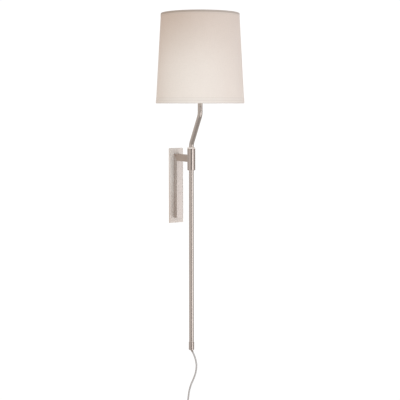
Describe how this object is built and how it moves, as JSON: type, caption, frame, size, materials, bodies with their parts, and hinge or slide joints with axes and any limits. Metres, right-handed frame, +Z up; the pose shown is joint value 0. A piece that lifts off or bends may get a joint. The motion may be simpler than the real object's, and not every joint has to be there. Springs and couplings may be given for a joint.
{
  "type": "wall lamp",
  "caption": "Plug-in wall lamp: a bent round pole slides and turns in a sleeve on a square-tube bracket and carries a tapered drum shade.",
  "frame": {"origin": "centre of the wall plate, on the wall", "axes": "+Y into the wall, the room on the -Y side, +X to the right when facing the wall, +Z up"},
  "size_m": [0.2866, 0.3133, 1.4458],
  "materials": {
    "satin_nickel": "satin brushed nickel plating",
    "nickel_bracket": "satin brushed nickel plating",
    "zinc_steel": "bright zinc plating",
    "brass": "plain turned brass",
    "nylon": "natural nylon",
    "black_phenolic": "moulded black plastic",
    "fibre_liner": "waxed insulating fibre",
    "opal_glass": "frosted white glass",
    "bulb_cap": "thin rolled aluminium",
    "white_linen": "off-white woven linen",
    "white_tape": "off-white ribbed tape",
    "styrene": "matt white laminate",
    "white_wire": "white powder coat",
    "silver_cord": "silver-grey soft plastic jacket",
    "grey_plastic": "dark silver-grey moulded plastic",
    "black_tie": "black nylon"
  },
  "bodies": {
    "bracket": {"wall_strap": "zinc_steel", "cover_screws": "satin_nickel", "wall_plate": "nickel_bracket", "bracket_screws": "zinc_steel", "post_nuts": "zinc_steel", "bracket_post": "nickel_bracket", "bracket_arm": "nickel_bracket", "post_cap": "nickel_bracket", "sleeve": "satin_nickel", "friction_pad": "nylon", "friction_screw": "zinc_steel"},
    "bushings": {"upper_bushing": "nylon", "lower_bushing": "nylon"},
    "pole": {"pole": "satin_nickel", "inner_lead": "silver_cord", "end_cap": "satin_nickel", "cord_bushing": "grey_plastic", "pole_insert": "brass", "nipple": "zinc_steel", "seat_washer": "satin_nickel", "lock_nut": "zinc_steel", "socket_cap": "satin_nickel", "socket_shell": "satin_nickel", "socket_liner": "fibre_liner", "socket_body": "black_phenolic", "terminal_screws": "brass", "screw_shell": "brass", "centre_contact": "brass", "socket_collar": "black_phenolic", "shade_lock_ring": "black_phenolic", "bulb_glass": "opal_glass", "bulb_base": "bulb_cap", "bulb_contact": "brass", "shade_fabric": "white_linen", "shade_liner": "styrene", "shade_ring_bottom": "white_wire", "shade_ring_top": "white_wire", "shade_fitter": "white_wire", "shade_trim_bottom": "white_tape", "shade_trim_top": "white_tape", "cord": "silver_cord", "cord_coil": "silver_cord", "cord_tail": "silver_cord", "coil_tie": "black_tie", "plug_body": "grey_plastic", "plug_blades": "brass"},
    "switch": {"switch_shaft": "brass", "switch_knob": "black_phenolic"}
  },
  "joints": [
    {"name": "pole_swivel", "type": "hinge", "parent": "bracket", "child": "bushings", "pos_m": [0, -0.111, 0.095], "axis": [0, 0, 1], "range_deg": [-50, 50]},
    {"name": "pole_height", "type": "slide", "parent": "bushings", "child": "pole", "axis": [0, 0, 1], "range_m": [0, 0.58]},
    {"name": "switch_turn", "type": "hinge", "parent": "pole", "child": "switch", "pos_m": [0.02, -0.17, 0.329], "axis": [1, 0, 0], "continuous": true}
  ]
}
